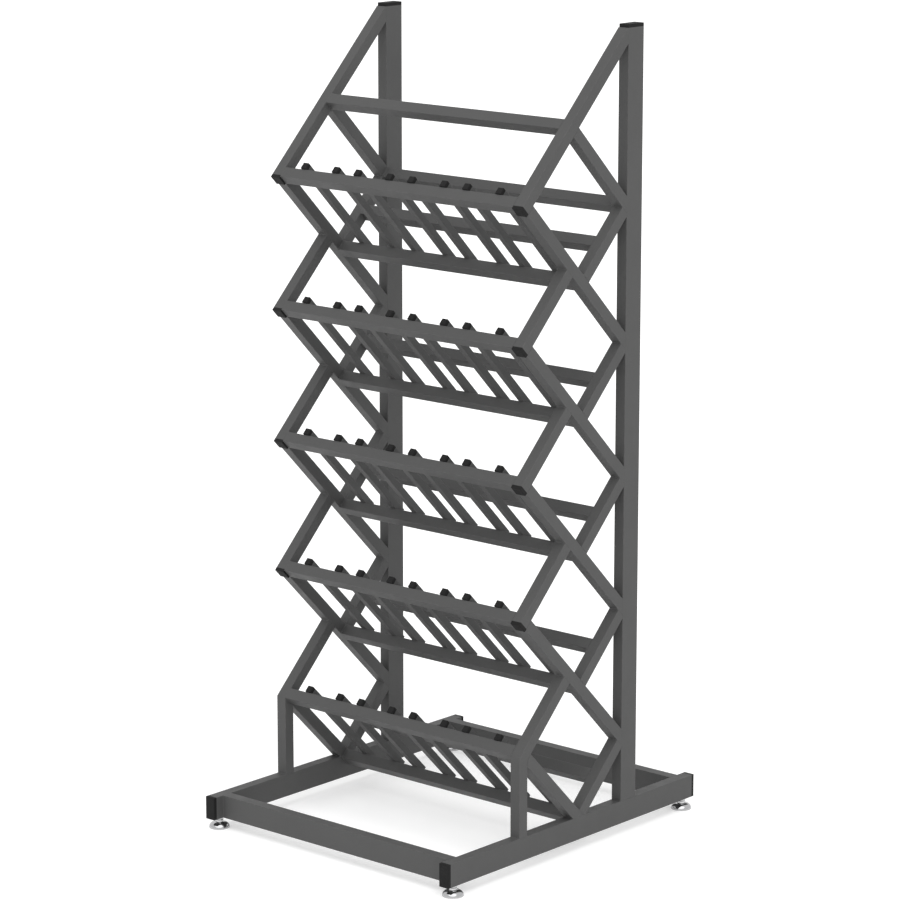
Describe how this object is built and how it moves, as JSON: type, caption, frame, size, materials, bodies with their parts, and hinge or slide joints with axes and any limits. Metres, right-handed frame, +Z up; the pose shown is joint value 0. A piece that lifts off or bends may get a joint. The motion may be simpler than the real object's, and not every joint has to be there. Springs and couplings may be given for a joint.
{
  "type": "tyre storage rack",
  "caption": "Free-standing tyre rack: two lattice side frames of square tube joined by cross bars, with sloping slatted cradles, on levelling feet.",
  "frame": {"origin": "on the floor, under the middle of the rack's outline", "axes": "+X to the right seen from the front, +Y from the front to the back, +Z up"},
  "size_m": [0.854, 0.976, 2.075],
  "materials": {
    "powder_coat": "dark grey satin powder coat",
    "cap_plastic": "black moulded polyethylene",
    "foot_chrome": "bright chrome plate",
    "nut_zinc": "bright zinc plate"
  },
  "bodies": {
    "rack": {"side_rail_left": "powder_coat", "side_rail_right": "powder_coat", "front_cross_rail": "powder_coat", "rear_cross_rail": "powder_coat", "upright_left": "powder_coat", "upright_right": "powder_coat", "front_post_left": "powder_coat", "front_post_right": "powder_coat", "top_braces": "powder_coat", "top_struts": "powder_coat", "front_struts_2": "powder_coat", "front_struts_3": "powder_coat", "front_struts_4": "powder_coat", "front_struts_5": "powder_coat", "rear_struts_1": "powder_coat", "rear_struts_2": "powder_coat", "rear_struts_3": "powder_coat", "rear_struts_4": "powder_coat", "rear_struts_5": "powder_coat", "cradle_rails_1": "powder_coat", "cradle_rails_2": "powder_coat", "cradle_rails_3": "powder_coat", "cradle_rails_4": "powder_coat", "cradle_rails_5": "powder_coat", "top_bar": "powder_coat", "header_bar": "powder_coat", "front_bar_1": "powder_coat", "front_bar_2": "powder_coat", "front_bar_3": "powder_coat", "front_bar_4": "powder_coat", "front_bar_5": "powder_coat", "cradle_bar_1": "powder_coat", "cradle_bar_2": "powder_coat", "cradle_bar_3": "powder_coat", "cradle_bar_4": "powder_coat", "cradle_bar_5": "powder_coat", "back_bar_1": "powder_coat", "back_bar_2": "powder_coat", "back_bar_3": "powder_coat", "back_bar_4": "powder_coat", "back_bar_5": "powder_coat", "slats_1": "powder_coat", "slats_2": "powder_coat", "slats_3": "powder_coat", "slats_4": "powder_coat", "slats_5": "powder_coat", "slat_caps": "cap_plastic", "strut_end_caps": "cap_plastic", "upright_caps": "cap_plastic", "rail_end_caps": "cap_plastic", "weld_nuts": "nut_zinc", "locknuts": "nut_zinc"},
    "foot_front_left": {"foot_pad_front_left": "foot_chrome"},
    "screw_front_left": {"stem_front_left": "foot_chrome"},
    "foot_front_right": {"foot_pad_front_right": "foot_chrome"},
    "screw_front_right": {"stem_front_right": "foot_chrome"},
    "foot_rear_left": {"foot_pad_rear_left": "foot_chrome"},
    "screw_rear_left": {"stem_rear_left": "foot_chrome"},
    "foot_rear_right": {"foot_pad_rear_right": "foot_chrome"},
    "screw_rear_right": {"stem_rear_right": "foot_chrome"}
  },
  "joints": [
    {"name": "foot_height_front_left", "type": "slide", "parent": "rack", "child": "foot_front_left", "axis": [0, 0, -1], "range_m": [0, 0.0245]},
    {"name": "screw_turn_front_left", "type": "hinge", "parent": "foot_front_left", "child": "screw_front_left", "pos_m": [-0.4, -0.454, 0.03], "axis": [0, 0, -1], "range_deg": [0, 5045]},
    {"name": "foot_height_front_right", "type": "slide", "parent": "rack", "child": "foot_front_right", "axis": [0, 0, -1], "range_m": [0, 0.0245]},
    {"name": "screw_turn_front_right", "type": "hinge", "parent": "foot_front_right", "child": "screw_front_right", "pos_m": [0.4, -0.454, 0.03], "axis": [0, 0, -1], "range_deg": [0, 5045]},
    {"name": "foot_height_rear_left", "type": "slide", "parent": "rack", "child": "foot_rear_left", "axis": [0, 0, -1], "range_m": [0, 0.0245]},
    {"name": "screw_turn_rear_left", "type": "hinge", "parent": "foot_rear_left", "child": "screw_rear_left", "pos_m": [-0.4, 0.454, 0.03], "axis": [0, 0, -1], "range_deg": [0, 5045]},
    {"name": "foot_height_rear_right", "type": "slide", "parent": "rack", "child": "foot_rear_right", "axis": [0, 0, -1], "range_m": [0, 0.0245]},
    {"name": "screw_turn_rear_right", "type": "hinge", "parent": "foot_rear_right", "child": "screw_rear_right", "pos_m": [0.4, 0.454, 0.03], "axis": [0, 0, -1], "range_deg": [0, 5045]}
  ],
  "couplings": [
    {"joint": "screw_turn_front_left", "follows": "foot_height_front_left", "rad_per_m": 3590.4},
    {"joint": "screw_turn_front_right", "follows": "foot_height_front_right", "rad_per_m": 3590.4},
    {"joint": "screw_turn_rear_left", "follows": "foot_height_rear_left", "rad_per_m": 3590.4},
    {"joint": "screw_turn_rear_right", "follows": "foot_height_rear_right", "rad_per_m": 3590.4}
  ]
}
